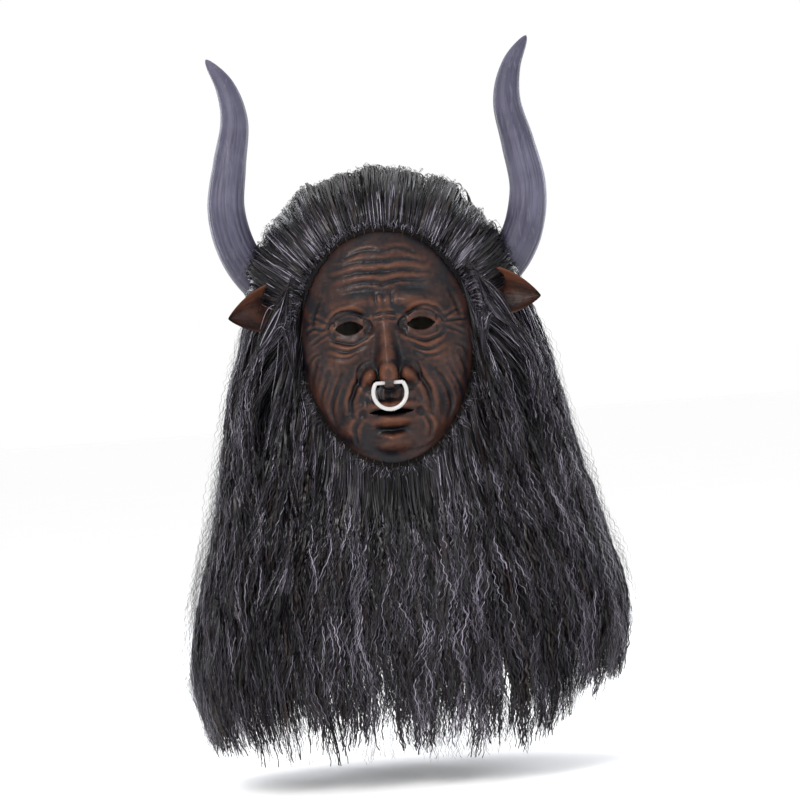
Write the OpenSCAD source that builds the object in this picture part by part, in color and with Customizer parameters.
// Horned bull-head mask: a moulded face sewn into a long-haired hood that is
// carried by a stiff inner cap. The face looks along -Y and +Z is up. The
// origin is where the wearer's crown meets the flat underside of the crown pad.

/* [Face] */
// Half width of the moulded face at its widest
face_half_w = 76; // [72:0.5:80]
// Half height of the moulded face, from hairline to chin
face_half_h = 102; // [98:0.5:106]
// Height of the middle of the face
face_z = -130; // [-134:1:-126]
// How far the middle of the face stands in front of the head's centre
face_depth = 106; // [104:0.5:110]
// Wall of the moulded face
face_wall = 3; // [2:0.1:4]
// Distance of each eye opening from the middle
eye_x = 31; // [29:0.5:33]
// Width of an eye opening
eye_w = 25; // [20:0.5:28]
// Height of an eye opening
eye_h = 11; // [8:0.5:13]
// Width of the mouth slit
mouth_w = 40; // [30:1:46]
// Height of the mouth slit
mouth_h = 6; // [5:0.5:7]

/* [Cap and hood] */
// Half width of the inside of the cap
cap_half_w = 82; // [80:0.5:84]
// Half length of the inside of the cap, front to back
cap_half_l = 102; // [100:0.5:104]
// Wall of the cap
cap_wall = 4; // [3:0.5:4]
// Thickness of the hood's cloth
cloth = 1.2; // [0.8:0.1:1.5]
// Height of the hood's hem at the neck
hem_z = -268; // [-290:1:-262]

/* [Horns] */
// Radius of a horn at its foot
horn_r = 18.5; // [18:0.5:20]
// Distance of a horn's flat foot from the middle
horn_foot_x = 90; // [90:0.5:92]
// Height of the horn's fastening axis
horn_z = -72; // [-74:1:-70]

/* [Ears] */
// Half height of an ear across its widest part
ear_half_h = 22; // [18:1:24]
// Thickness of an ear
ear_wall = 3; // [2:0.5:4]

/* [Nose ring] */
// Radius of the ring, to the middle of its wire
ring_r = 14.2; // [13:0.1:15]
// Radius of the ring's wire
wire_r = 1.8; // [1.4:0.1:2]
// How far above level the ring stays a circle before its ends turn in
ring_end_angle = 36; // [30:1:40]
// Radius of the spigots that go into the septum
spigot_r = 1.2; // [1:0.05:1.3]

/* [Head strap] */
// Height of the elastic band
strap_h = 22; // [18:1:24]
// Thickness of the elastic band
strap_t = 1.6; // [1.2:0.1:2]
// Angle by which the band falls towards the back of the head
strap_fall = 9; // [5:1:12]

/* [Hair] */
// Height of the hair's lower ends
hair_end_z = -484; // [-500:1:-460]
// Thickness of the hanging hair
hair_t = 9; // [6:1:9]
// Height of the top of the brushed-up hair
hair_top_z = 30; // [24:1:34]

/* [Hidden] */

$fn = 48;
gap = 0.3;

// Heights down the face, as shares of its half height from the middle
brow_z = face_z + 0.37 * face_half_h;
eye_z = face_z + 0.18 * face_half_h;
nose_tip_z = face_z - 0.18 * face_half_h;
nose_base_z = face_z - 0.32 * face_half_h;
mouth_z = face_z - 0.55 * face_half_h;
chin_z = face_z - 0.8 * face_half_h;

// The ring turns about this axis through the septum
ring_axis = [0, -122, nose_base_z + 1.6];
ring_drop = ring_r * sin(ring_end_angle);
ring_elbow_x = ring_r * cos(ring_end_angle);
septum_half_w = 3.5;
bore_r = spigot_r + 0.06;

// The cap is half an ellipsoid about this height
dome_z = -95;
cap_rise = 103;
cap_out = [cap_half_w + cap_wall, cap_half_l + cap_wall, cap_rise + cap_wall];
hood_ease = 1.2;
hood_in = [for (s = cap_out) s + hood_ease];
hood_out = [for (s = hood_in) s + cloth];

// Horn fastening
boss_r = 16;
plug_r = 10;
plug_l = 14;
plate_r = 15;
plate_t = 3;
plate_x = 73.5;
screw_r = 1.5;
screw_circle_r = 6;
screws_per_horn = 3;
horn_path = [
    [horn_foot_x, 0, horn_z], [111, -3, -60], [129, -6, -31], [136, -8, 6],
    [130, -8, 46], [123, -7, 84], [129, -4, 116], [145, 0, 143]
];

// Ear from its root to its tip
ear_root = [85, -44, -84];
ear_tip = [138, -58, -94];
ear_cup = 9;

// The elastic band's centre line, seen from above, on the left side
strap_path = [[-77.6, 4], [-76.2, 24], [-64.5, 53], [-48, 74], [-30, 82]];
strap_pivot_z = -98;
rivet_x = 75.85;
rivet_hole_x = 70;   // where the rivet holes start, inside the cap
rivet_y = 13;
rivet_r = 2;
rivet_head_r = 4;
rivet_head_t = 1.5;
rivet_l = 8.7;
buckle_l = 15;

// Half width and half depth of the hanging hair at heights
hair_half_w = [
    [-484, 180], [-400, 195], [-350, 189], [-280, 171], [-190, 153], [-110, 138], [-45, 120]
];
hair_half_d = [[-484, 112], [-300, 118], [-110, 122], [-45, 112]];

function mix(a, b, t) = a + (b - a) * t;
function clamp01(t) = min(max(t, 0), 1);
function ease(t) = let(s = clamp01(t)) s * s * (3 - 2 * s);
// A smooth hill, 1 in the middle and 0 from a distance of 1
function hill(d) = d >= 1 ? 0 : pow(cos(90 * d), 2);
function hill2(x, z, rx, rz) = hill(norm([x / rx, z / rz]));

// ---- solids between two skins ----

// Two triangles for each cell of a grid of points, starting at index start
function cells(rows, cols, start, wrap, flip) = [
    for (r = [0 : rows - 1], c = [0 : cols - 1])
        let(
            next = wrap ? (c + 1) % cols : c + 1,
            line = wrap ? cols : cols + 1,
            a = start + r * line + c,
            b = start + r * line + next,
            d = start + (r + 1) * line + c,
            e = start + (r + 1) * line + next
        )
        each flip ? [[a, b, e], [a, e, d]] : [[a, e, b], [a, d, e]]
];

// A strip of triangles between two lists of point numbers
function strip(one, two) = [
    for (i = [0 : len(one) - 2])
        each [[one[i], one[i + 1], two[i + 1]], [one[i], two[i + 1], two[i]]]
];

// A sheet: both skins are functions of u along and v across, each 0 to 1
module sheet_solid(outer, inner, rows, cols) {
    count = (rows + 1) * (cols + 1);
    points = [
        for (skin = [outer, inner], r = [0 : rows], c = [0 : cols]) skin(r / rows, c / cols)
    ];
    top = [for (c = [0 : cols]) c];
    bottom = [for (c = [0 : cols]) rows * (cols + 1) + c];
    first = [for (r = [0 : rows]) r * (cols + 1)];
    last = [for (r = [0 : rows]) r * (cols + 1) + cols];
    faces = concat(
        cells(rows, cols, 0, false, true),
        cells(rows, cols, count, false, false),
        strip([for (i = top) i + count], top),
        strip(bottom, [for (i = bottom) i + count]),
        strip(first, [for (i = first) i + count]),
        strip([for (i = last) i + count], last)
    );
    polyhedron(points, faces);
}

// A bowl: both skins are functions of r, 0 at the middle and 1 at the rim, and an angle
module bowl_solid(outer, inner, rings, sectors) {
    count = rings * sectors;
    points = concat(
        [for (skin = [outer, inner], i = [1 : rings], s = [0 : sectors - 1])
            skin(i / rings, 360 * s / sectors)],
        [outer(0, 0), inner(0, 0)]
    );
    rim = (rings - 1) * sectors;
    faces = concat(
        cells(rings - 1, sectors, 0, true, true),
        cells(rings - 1, sectors, count, true, false),
        [for (s = [0 : sectors - 1]) let(n = (s + 1) % sectors)
            each [
                [2 * count, n, s],
                [2 * count + 1, count + s, count + n],
                [rim + s, rim + count + n, rim + count + s],
                [rim + s, rim + n, rim + count + n]
            ]]
    );
    polyhedron(points, faces);
}

// Point on a smooth curve through a list of points, t from 0 to 1
function curve_point(path, t) =
    let(
        n = len(path) - 1,
        i = min(floor(t * n), n - 1),
        f = t * n - i,
        p1 = path[i],
        p2 = path[i + 1],
        p0 = i > 0 ? path[i - 1] : 2 * p1 - p2,
        p3 = i + 2 <= n ? path[i + 2] : 2 * p2 - p1
    )
    0.5 * (2 * p1 + (p2 - p0) * f + (2 * p0 - 5 * p1 + 4 * p2 - p3) * f * f
        + (3 * p1 - p0 - 3 * p2 + p3) * f * f * f);

// ---- face ----

function face_outline(angle) = [
    face_half_w * cos(angle) * (1 + 0.08 * sin(angle)),
    face_z + face_half_h * sin(angle)
];
function rim_depth(angle) = 53 + (sin(angle) > 0 ? 32 : 39) * pow(sin(angle), 2);

function nose_height(z) = lookup(z, [
    [nose_base_z - 4, 0], [nose_base_z, 7], [nose_tip_z - 7, 21], [nose_tip_z, 25],
    [eye_z, 8], [brow_z - 8, 2], [brow_z, 0]
]);
function nose_half_w(z) = lookup(z, [[nose_tip_z, 19], [eye_z, 11], [brow_z, 13]]);

// What the features add in front of the plain oval
function features(x, z) =
    let(ax = abs(x))
    nose_height(z) * hill(ax / nose_half_w(z))
    + 11 * hill2(ax - 13, z - nose_tip_z + 4, 9, 9)
    + 6 * hill2(ax - 27, z - brow_z, 30, 13)
    - 10 * hill2(ax - eye_x, z - eye_z, 23, 16)
    + 7 * hill2(ax - 46, z - nose_tip_z - 6, 26, 24)
    + 8 * hill2(ax, z - mouth_z, 36, 26)
    + 4 * hill2(ax, z - mouth_z - 6, 27, 7)
    + 5 * hill2(ax, z - mouth_z + 7, 22, 8)
    + 9 * hill2(ax, z - chin_z, 24, 17);

function face_point(r, angle, inset) =
    let(
        flat = face_outline(angle),
        x = r * flat[0] * (1 - inset / face_half_w),
        z = face_z + r * (flat[1] - face_z) * (1 - inset / face_half_h),
        round = pow(1 - pow(r, 2.6), 0.7),
        depth = mix(rim_depth(angle), face_depth, round)
    )
    [x, -(depth + features(x, z) * ease((1 - r) * 6) - inset), z];

// An upright lens as wide as w and as high as h, cut straight back
module lens_cutter(w, h, depth) {
    r = (w * w / 4 + h * h / 4) / h;
    rotate([90, 0, 0])
        linear_extrude(depth)
            intersection() {
                translate([0, r - h / 2]) circle(r);
                translate([0, h / 2 - r]) circle(r);
            }
}

module face_shell() {
    color("#4a332e")
        difference() {
            bowl_solid(
                function(r, a) face_point(r, a, 0),
                function(r, a) face_point(r, a, face_wall),
                20, 48
            );
            for (side = [-1, 1]) {
                translate([side * eye_x, -60, eye_z]) lens_cutter(eye_w, eye_h, 80);
                translate([side * 7.5, ring_axis[1] + 2, nose_base_z - 10]) cylinder(r = 3.6, h = 24);
            }
            translate([0, -60, mouth_z]) lens_cutter(mouth_w, mouth_h, 80);
        }
}

// The septum between the nostrils, with the bore that the ring's spigots turn in
module septum_web() {
    color("#30221f")
        translate([-septum_half_w, ring_axis[1], ring_axis[2]])
            rotate([90, 0, 90])
                difference() {
                    linear_extrude(2 * septum_half_w)
                        union() {
                            circle(4.6);
                            translate([-3.4, 0]) square([8, 11]);
                        }
                    translate([0, 0, -1]) cylinder(r = bore_r, h = 2 * septum_half_w + 2);
                }
}

binding_r = 2.2;
function binding_point(angle) =
    let(flat = face_outline(angle))
    [flat[0] * (1 + 1 / face_half_w), -(rim_depth(angle) + 0.5),
        face_z + (flat[1] - face_z) * (1 + 1 / face_half_h)];

// A round tube with its middle on a closed curve given by an angle
module closed_tube(centre, r, rings, sides) {
    points = [
        for (i = [0 : rings - 1])
            let(
                a = 360 * i / rings,
                c = centre(a),
                ahead = centre(a + 1) - centre(a - 1),
                t = ahead / norm(ahead),
                away = cross(t, [0, 1, 0]),
                n = away / norm(away),
                b = cross(t, n)
            )
            for (k = [0 : sides - 1])
                c + r * (cos(360 * k / sides) * n + sin(360 * k / sides) * b)
    ];
    faces = [
        for (i = [0 : rings - 1], k = [0 : sides - 1])
            let(
                j = (i + 1) % rings,
                l = (k + 1) % sides,
                p = i * sides + k,
                q = i * sides + l,
                s = j * sides + k,
                u = j * sides + l
            )
            each [[p, u, q], [p, s, u]]
    ];
    polyhedron(points, faces);
}

module rim_binding() {
    color("#2a2422") closed_tube(function(a) binding_point(a), binding_r, 60, 8);
}

rim_stitch_count = 60;
stitch_r = 0.5;
module rim_stitches() {
    color("#5d4c3f")
        for (i = [0 : rim_stitch_count - 1]) {
            a = 360 * (i + 0.5) / rim_stitch_count;
            p = binding_point(a);
            outward = [p[0], p[2] - face_z];
            translate([p[0], p[1] - binding_r, p[2]])
                rotate([0, 90 - atan2(outward[1], outward[0]), 0])
                    cylinder(r = stitch_r, h = 7, center = true, $fn = 16);
        }
}

// ---- cap, pads and hood ----

// A point on an ellipsoid about the head's middle: polar angle t from the top, azimuth a from the front
function dome(size, t, a) = [
    size[0] * sin(t) * sin(a),
    -size[1] * sin(t) * cos(a),
    dome_z + size[2] * cos(t)
];

// The cap's edge is high over the face and low at the nape
function turn(a) = abs(a > 180 ? a - 360 : a);
function cap_edge_z(a) = mix(-18, -150, ease((turn(a) - 30) / 70));
function cap_t(a) = acos((cap_edge_z(a) - dome_z) / cap_out[2]);

function boss_place(side) = [side * plate_x, 0, horn_z];
module along_x(side) {
    mirror([side < 0 ? 1 : 0, 0, 0]) rotate([0, 90, 0]) children();
}

module screw_places(side) {
    for (k = [0 : screws_per_horn - 1])
        rotate([0, 0, 360 * k / screws_per_horn + 30]) translate([screw_circle_r, 0, 0]) children();
}

module skull_cap() {
    color("#2b2b2d")
        difference() {
            union() {
                bowl_solid(
                    function(r, a) dome(cap_out, r * cap_t(a), a),
                    function(r, a) dome(cap_out - [cap_wall, cap_wall, cap_wall], r * cap_t(a), a),
                    14, 40
                );
                for (side = [-1, 1])
                    translate(boss_place(side)) along_x(side)
                        cylinder(r = boss_r, h = horn_foot_x - plate_x);
            }
            for (side = [-1, 1]) {
                translate(boss_place(side)) along_x(side)
                    screw_places(side) translate([0, 0, -2]) cylinder(r = screw_r + 0.2, h = 30, $fn = 24);
                translate([side * rivet_hole_x, rivet_y, rivet_z]) along_x(side)
                    cylinder(r = rivet_r + 0.1, h = 30, $fn = 24);
            }
        }
}

pad_r = 26;
pad_t = 7;
pad_crown_r = 54;
module crown_pad() {
    color("#3a3a3e")
        intersection() {
            cylinder(r = pad_r, h = pad_t + 1);
            translate([0, 0, pad_t - pad_crown_r]) sphere(pad_crown_r, $fn = 96);
        }
}

module brow_pad() {
    far = face_wall + 2;
    color("#3a3a3e")
        sheet_solid(
            function(u, v) brow_point(u, v, far),
            function(u, v) brow_point(u, v, far + 5),
            4, 10
        );
}
// A point behind the forehead, v across from left to right and u downwards
function brow_point(u, v, inset) =
    let(
        x = mix(-34, 34, v),
        z = mix(face_z + 0.78 * face_half_h, face_z + 0.54 * face_half_h, u),
        p = [x / face_half_w, (z - face_z) / face_half_h],
        r = norm(p),
        a = atan2(p[1], p[0]),
        depth = mix(rim_depth(a), face_depth, pow(1 - pow(r, 2.6), 0.7))
    )
    [x, -(depth - inset), z];

// Two tapes glued inside the back of the cap over the hood's darts
tape_turn = 19;
tape_t = 0.9;
tape_ease = 0.8;
module seam_tapes() {
    color("#b08a5a")
        for (side = [-1, 1])
            sheet_solid(
                function(u, v) tape_point(u, v, side, tape_ease),
                function(u, v) tape_point(u, v, side, tape_ease + tape_t),
                8, 2
            );
}
function tape_point(u, v, side, inset) = dome(
    cap_out - [1, 1, 1] * (cap_wall + inset), mix(38, 116, u),
    180 - side * tape_turn + mix(-4, 4, v)
);

// The hood follows the cap and then drops as a skirt to the hem
function hood_point(r, a, size) =
    r < 0.5
    ? dome(size, r * 180, a)
    : let(
        s = (r - 0.5) * 2,
        narrow = 1 - 0.13 * ease(s)
    )
    [size[0] * narrow * sin(a), -size[1] * narrow * cos(a), mix(dome_z, hem_z, s)];

module hood_cloth() {
    color("#1c1b20")
        difference() {
            bowl_solid(
                function(r, a) hood_point(r, a, hood_out),
                function(r, a) hood_point(r, a, hood_in),
                16, 36
            );
            translate([0, -30, 0])
                rotate([90, 0, 0])
                    linear_extrude(120)
                        polygon([for (a = [0 : 10 : 350]) let(p = face_outline(a))
                            [p[0] * 1.01, face_z + (p[1] - face_z) * 1.01]]);
            for (side = [-1, 1])
                translate(boss_place(side)) along_x(side) cylinder(r = boss_r + gap, h = 30);
        }
}

// ---- hair ----

module crown_hair() {
    color("#2e2b33")
        bowl_solid(
            function(r, a) crown_hair_outer(r, a),
            function(r, a) dome(hood_out + [0.6, 0.6, 0.6], r * crown_t(a), a),
            9, 32
        );
}
function crown_low_z(a) = mix(-22, -40, ease((turn(a) - 40) / 60));
function crown_t(a) = acos((crown_low_z(a) - dome_z) / (hood_out[2] + 0.6));
function crown_hair_outer(r, a) =
    let(
        t = r * 90,
        low = crown_low_z(a),
        wide = pow(sin(t), 0.8),
        high = pow(cos(t), 0.6)
    )
    [100 * wide * sin(a), -104 * wide * cos(a), mix(low, hair_top_z, high)];

// A point of the hanging hair at azimuth a and height z, inset from its outside
function hair_point(a, z, inset) = [
    (lookup(z, hair_half_w) - inset) * sin(a),
    -(lookup(z, hair_half_d) - inset) * cos(a),
    z
];
module hair_fall(from_a, to_a, top_z, rows, cols) {
    sheet_solid(
        function(u, v) hair_point(mix(from_a(u), to_a(u), v), mix(top_z, hair_end_z, u), 0),
        function(u, v) hair_point(
            mix(from_a(u), to_a(u), v), mix(top_z, hair_end_z, u), hair_t
        ),
        rows, cols
    );
}

hair_part = 0.4;
back_from = 108;
side_top_z = -122;
function side_front(u) = mix(58, 25, u);
module side_hair() {
    hair_fall(
        function(u) side_front(u), function(u) back_from - hair_part,
        side_top_z, 10, 12
    );
}
module side_hair_right() {
    color("#2f2c34") side_hair();
}
module side_hair_left() {
    color("#2f2c34") mirror([1, 0, 0]) side_hair();
}
module back_hair() {
    color("#2b2930")
        hair_fall(
            function(u) back_from, function(u) 360 - back_from,
            -46, 12, 20
        );
}
beard_top_z = -242;
module beard_hair() {
    color("#222026")
        sheet_solid(
            function(u, v) beard_point(u, v, 0), function(u, v) beard_point(u, v, 14),
            8, 8
        );
}
function beard_point(u, v, inset) =
    let(
        z = mix(beard_top_z, hair_end_z + 8, u),
        half = side_front((z - side_top_z) / (hair_end_z - side_top_z)) - 4,
        p = hair_point(mix(-half, half, v), z, 0)
    )
    [p[0] * 0.86, p[1] + inset, p[2]];

// ---- ears ----

// u runs from root to tip, v across from -1 to 1
function ear_point(u, v, inset) =
    let(
        axis = mix(ear_root, ear_tip, u),
        half = ear_half_h * pow(1.005 - pow(u, 1.7), 0.82) * (0.8 + 0.2 * clamp01(u * 3)),
        fold = ear_cup * (1 - u * 0.6) * (1 - v * v)
    )
    axis + [0, fold + inset, half * v * (1 - inset / ear_half_h)];

module ear() {
    color("#5a3d36")
        sheet_solid(
            function(u, v) ear_point(u, 2 * v - 1, 0),
            function(u, v) ear_point(u, 2 * v - 1, ear_wall),
            10, 8
        );
}
module ear_right() {
    ear();
}
module ear_left() {
    mirror([1, 0, 0]) ear();
}

ear_stitch_count = 5;
module ear_stitches() {
    color("#5d4c3f")
        for (side = [-1, 1], k = [0 : ear_stitch_count - 1]) {
            v = mix(-0.8, 0.8, k / (ear_stitch_count - 1));
            p = ear_point(0, v, ear_wall / 2);
            translate([side * (p[0] + 2.5), p[1], p[2]])
                rotate([0, 90, 0]) cylinder(r = 0.6, h = 9, center = true, $fn = 16);
        }
}

// ---- horns ----

function horn_radius(t) = horn_r * pow(1 - t * t, 0.55);
module horn() {
    rings = 24;
    sides = 16;
    last_t = 0.985;
    points = concat(
        [for (i = [0 : rings])
            let(
                t = last_t * i / rings,
                c = curve_point(horn_path, t),
                ahead = i == 0 ? [1, 0, 0] : curve_point(horn_path, t + 0.004) - curve_point(horn_path, t - 0.004),
                d = ahead / norm(ahead),
                n = [0, 1, 0] - d[1] * d,
                y = n / norm(n),
                z = cross(d, y)
            )
            for (k = [0 : sides - 1])
                c + horn_radius(t) * (cos(360 * k / sides) * y + sin(360 * k / sides) * z)],
        [curve_point(horn_path, 0), curve_point(horn_path, 1)]
    );
    foot = (rings + 1) * sides;
    faces = concat(
        cells(rings, sides, 0, true, false),
        [for (k = [0 : sides - 1]) let(n = (k + 1) % sides)
            each [[foot, k, n], [foot + 1, rings * sides + n, rings * sides + k]]]
    );
    color("#6f6c80")
        difference() {
            polyhedron(points, faces);
            translate([horn_foot_x - 1, 0, horn_z]) along_x(1) cylinder(r = plug_r, h = plug_l + 1);
        }
}
module horn_right() {
    horn();
}
module horn_left() {
    mirror([1, 0, 0]) horn();
}

module horn_plug(side) {
    color("#a98559")
        translate([side * horn_foot_x, 0, horn_z]) along_x(side)
            difference() {
                cylinder(r = plug_r, h = plug_l);
                screw_places(side) translate([0, 0, -1]) cylinder(r = screw_r, h = plug_l - 2, $fn = 24);
            }
}
module horn_plug_left() {
    horn_plug(-1);
}
module horn_plug_right() {
    horn_plug(1);
}

module horn_plate(side) {
    color("#8d8d92")
        translate([side * (plate_x - plate_t), 0, horn_z]) along_x(side)
            difference() {
                cylinder(r = plate_r, h = plate_t);
                screw_places(side) translate([0, 0, -1]) cylinder(r = screw_r + 0.2, h = plate_t + 2, $fn = 24);
            }
}
module horn_plate_left() {
    horn_plate(-1);
}
module horn_plate_right() {
    horn_plate(1);
}

head_r = 2.8;
head_t = 1.8;
module horn_screws() {
    length = horn_foot_x + plug_l - 3 - (plate_x - plate_t);
    color("#c8c8cc")
        for (side = [-1, 1])
            translate([side * (plate_x - plate_t), 0, horn_z]) along_x(side)
                screw_places(side)
                    difference() {
                        union() {
                            cylinder(r = screw_r, h = length, $fn = 24);
                            translate([0, 0, -head_t]) cylinder(r = head_r, h = head_t, $fn = 24);
                        }
                        translate([0, 0, -head_t - 0.1]) cylinder(r = 1.3, h = 1.1, $fn = 6);
                    }
}

// ---- head strap ----

// The band's centre line from one rivet round the back to the other
strap_line = concat(strap_path, [for (i = [len(strap_path) - 1 : -1 : 0]) [-strap_path[i][0], strap_path[i][1]]]);
rivet_z = strap_pivot_z - rivet_y * sin(strap_fall);
strap_y = strap_path[len(strap_path) - 1][1];

function side_step(line, i) =
    let(
        ahead = line[min(i + 1, len(line) - 1)] - line[max(i - 1, 0)],
        n = [-ahead[1], ahead[0]] / norm(ahead)
    )
    n * strap_t / 2;

module strap_frame() {
    translate([0, 0, strap_pivot_z]) rotate([-strap_fall, 0, 0]) children();
}

module head_strap() {
    count = len(strap_line) - 1;
    color("#d8d4c8")
        difference() {
            strap_frame()
                translate([0, 0, -strap_h / 2])
                    linear_extrude(strap_h)
                        polygon(concat(
                            [for (i = [0 : count]) strap_line[i] + side_step(strap_line, i)],
                            [for (i = [count : -1 : 0]) strap_line[i] - side_step(strap_line, i)]
                        ));
            for (side = [-1, 1])
                translate([side * rivet_hole_x, rivet_y, rivet_z]) along_x(side)
                    cylinder(r = rivet_r + 0.1, h = 20, $fn = 24);
        }
}

module strap_rivets() {
    color("#9a9a9e")
        for (side = [-1, 1])
            translate([side * rivet_x, rivet_y, rivet_z]) along_x(side)
                union() {
                    translate([0, 0, -rivet_head_t]) cylinder(r = rivet_head_r, h = rivet_head_t, $fn = 32);
                    translate([0, 0, -1]) cylinder(r = rivet_r, h = rivet_l + 1, $fn = 24);
                }
}

module strap_buckle() {
    wall = 1.6;
    room = 0.4;
    color("#1f1f22")
        strap_frame()
            translate([0, strap_y, 0])
                difference() {
                    cube([buckle_l, strap_t + 2 * (room + wall), strap_h + 2 * (room + wall)], center = true);
                    cube([buckle_l + 2, strap_t + 2 * room, strap_h + 2 * room], center = true);
                }
}

// ---- nose ring ----

pin_r = wire_r - 0.2;
module nose_ring() {
    color("#e8e6e8")
        translate(ring_axis)
            union() {
                translate([0, 0, -ring_drop])
                    rotate([90, 0, 0])
                        rotate([0, 0, 180 - ring_end_angle])
                            rotate_extrude(angle = 180 + 2 * ring_end_angle)
                                translate([ring_r, 0]) circle(wire_r);
                for (side = [-1, 1]) {
                    translate([side * (septum_half_w + 0.4), 0, 0]) along_x(side)
                        cylinder(r = pin_r, h = ring_elbow_x - septum_half_w);
                    translate([side * 0.8, 0, 0]) along_x(side)
                        cylinder(r = spigot_r, h = septum_half_w);
                }
            }
}

face_shell();
septum_web();
rim_binding();
rim_stitches();
skull_cap();
crown_pad();
brow_pad();
seam_tapes();
hood_cloth();
crown_hair();
side_hair_left();
side_hair_right();
back_hair();
beard_hair();
ear_left();
ear_right();
ear_stitches();
horn_left();
horn_right();
horn_plug_left();
horn_plug_right();
horn_plate_left();
horn_plate_right();
horn_screws();
head_strap();
strap_rivets();
strap_buckle();
nose_ring();
